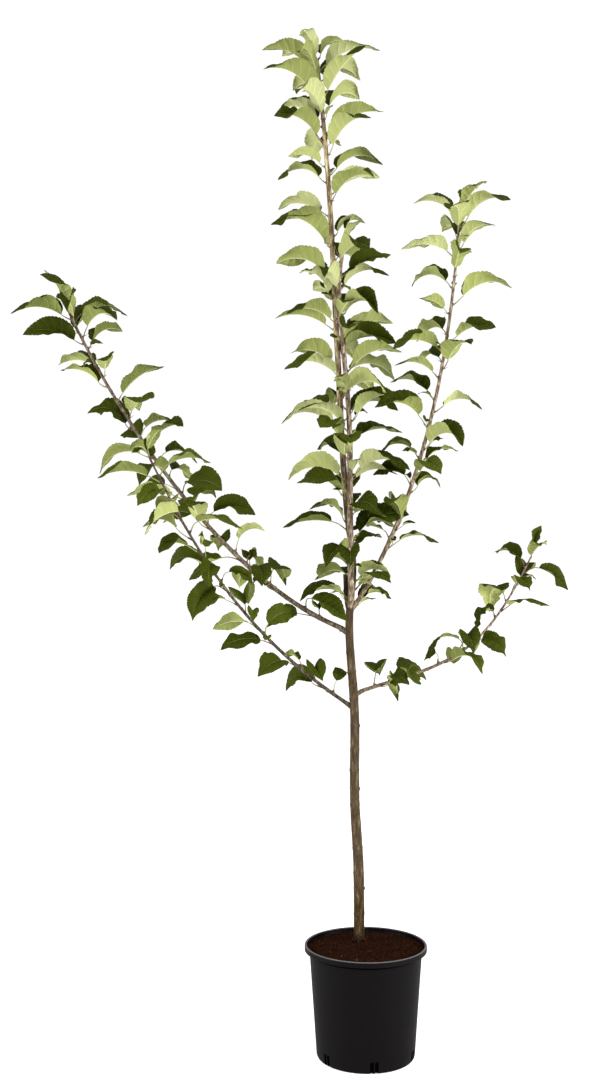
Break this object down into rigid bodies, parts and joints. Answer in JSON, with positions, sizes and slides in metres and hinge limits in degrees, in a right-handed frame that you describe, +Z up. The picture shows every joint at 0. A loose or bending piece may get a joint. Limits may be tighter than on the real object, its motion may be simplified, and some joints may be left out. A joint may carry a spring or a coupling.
{
  "type": "potted dwarf apple tree",
  "caption": "Young dwarf apple tree in leaf: slim trunk, upright leader with a twin stem and rising side boughs, standing in a round black nursery pot full of compost.",
  "frame": {"origin": "centre of the pot's flat underside, on the ground", "axes": "+Z up along the tree, +X to the right and +Y away, seen from the broad side of the tree"},
  "size_m": [1.2158, 0.3946, 2.1839],
  "materials": {
    "pot": "satin black moulded polypropylene with a faint sheen",
    "compost": "moist, dark red-brown crumbs of peat and bark",
    "bark": "thin olive-brown bark with pale lenticels and old bud knots",
    "shoot": "smooth reddish-brown shoot bark with a slight gloss",
    "foliage": "toothed leaves, dark green and slightly glossy above, pale and downy beneath"
  },
  "bodies": {
    "root": {"pot": "pot", "compost": "compost", "trunk": "bark", "pruned_stub": "bark", "twin_stem": "shoot", "left_upper_bough": "shoot", "left_lower_bough": "shoot", "right_upper_bough": "shoot", "right_lower_bough": "shoot", "leader_foliage_1": "foliage", "leader_foliage_2": "foliage", "leader_foliage_3": "foliage", "leader_foliage_4": "foliage", "leader_foliage_5": "foliage", "leader_foliage_6": "foliage", "leader_foliage_7": "foliage", "leader_foliage_8": "foliage", "leader_foliage_9": "foliage", "leader_foliage_10": "foliage", "left_upper_foliage_1": "foliage", "left_upper_foliage_2": "foliage", "left_upper_foliage_3": "foliage", "left_upper_foliage_4": "foliage", "left_upper_foliage_5": "foliage", "left_upper_tuft": "foliage", "left_lower_foliage_1": "foliage", "left_lower_foliage_2": "foliage", "left_lower_foliage_3": "foliage", "left_lower_foliage_4": "foliage", "left_lower_tuft": "foliage", "right_upper_foliage_1": "foliage", "right_upper_foliage_2": "foliage", "right_upper_foliage_3": "foliage", "right_upper_foliage_4": "foliage", "right_upper_foliage_5": "foliage", "right_upper_tuft": "foliage", "right_lower_foliage_1": "foliage", "right_lower_foliage_2": "foliage", "right_lower_tuft": "foliage"}
  },
  "joints": []
}
